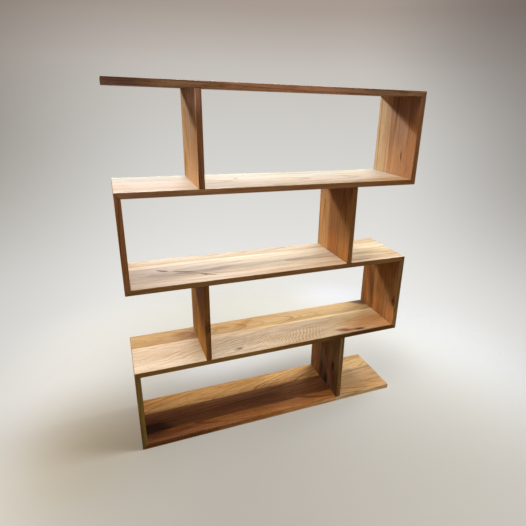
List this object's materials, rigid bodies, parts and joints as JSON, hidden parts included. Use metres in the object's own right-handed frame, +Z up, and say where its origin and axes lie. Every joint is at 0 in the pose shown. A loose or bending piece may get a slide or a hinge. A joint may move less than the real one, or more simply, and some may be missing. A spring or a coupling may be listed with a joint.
{
  "type": "zigzag bookshelf",
  "caption": "Free-standing open-backed bookshelf in solid oak: level shelves joined into a zigzag by end panels at alternating ends, with a divider in every tier. Mitred corners.",
  "frame": {"origin": "centre of the footprint on the floor, under the middle of the lowest shelf", "axes": "+Z up, +X to the right along the shelves, front towards -Y; the lowest end panel stands on the left"},
  "size_m": [1.015, 0.248, 1.2],
  "materials": {
    "shelf_oak": "oiled oak, satin, wide edge-glued staves with knots",
    "panel_oak": "oiled oak, satin, wide edge-glued staves with knots",
    "divider_oak": "oiled oak, satin, wide edge-glued staves with knots",
    "joinery_beech": "raw beech, dry"
  },
  "bodies": {
    "root": {"shelf_1": "shelf_oak", "shelf_2": "shelf_oak", "shelf_3": "shelf_oak", "shelf_4": "shelf_oak", "shelf_5": "shelf_oak", "end_panel_1": "panel_oak", "end_panel_2": "panel_oak", "end_panel_3": "panel_oak", "end_panel_4": "panel_oak", "divider_1": "divider_oak", "divider_2": "divider_oak", "divider_3": "divider_oak", "divider_4": "divider_oak", "tenon_1_bottom_front": "joinery_beech", "tenon_1_bottom_middle": "joinery_beech", "tenon_1_bottom_back": "joinery_beech", "tenon_1_top_front": "joinery_beech", "tenon_1_top_middle": "joinery_beech", "tenon_1_top_back": "joinery_beech", "tenon_2_bottom_front": "joinery_beech", "tenon_2_bottom_middle": "joinery_beech", "tenon_2_bottom_back": "joinery_beech", "tenon_2_top_front": "joinery_beech", "tenon_2_top_middle": "joinery_beech", "tenon_2_top_back": "joinery_beech", "tenon_3_bottom_front": "joinery_beech", "tenon_3_bottom_middle": "joinery_beech", "tenon_3_bottom_back": "joinery_beech", "tenon_3_top_front": "joinery_beech", "tenon_3_top_middle": "joinery_beech", "tenon_3_top_back": "joinery_beech", "tenon_4_bottom_front": "joinery_beech", "tenon_4_bottom_middle": "joinery_beech", "tenon_4_bottom_back": "joinery_beech", "tenon_4_top_front": "joinery_beech", "tenon_4_top_middle": "joinery_beech", "tenon_4_top_back": "joinery_beech", "dowel_1_bottom_front": "joinery_beech", "dowel_1_bottom_back": "joinery_beech", "dowel_1_top_front": "joinery_beech", "dowel_1_top_back": "joinery_beech", "dowel_2_bottom_front": "joinery_beech", "dowel_2_bottom_back": "joinery_beech", "dowel_2_top_front": "joinery_beech", "dowel_2_top_back": "joinery_beech", "dowel_3_bottom_front": "joinery_beech", "dowel_3_bottom_back": "joinery_beech", "dowel_3_top_front": "joinery_beech", "dowel_3_top_back": "joinery_beech", "dowel_4_bottom_front": "joinery_beech", "dowel_4_bottom_back": "joinery_beech", "dowel_4_top_front": "joinery_beech", "dowel_4_top_back": "joinery_beech"}
  },
  "joints": []
}
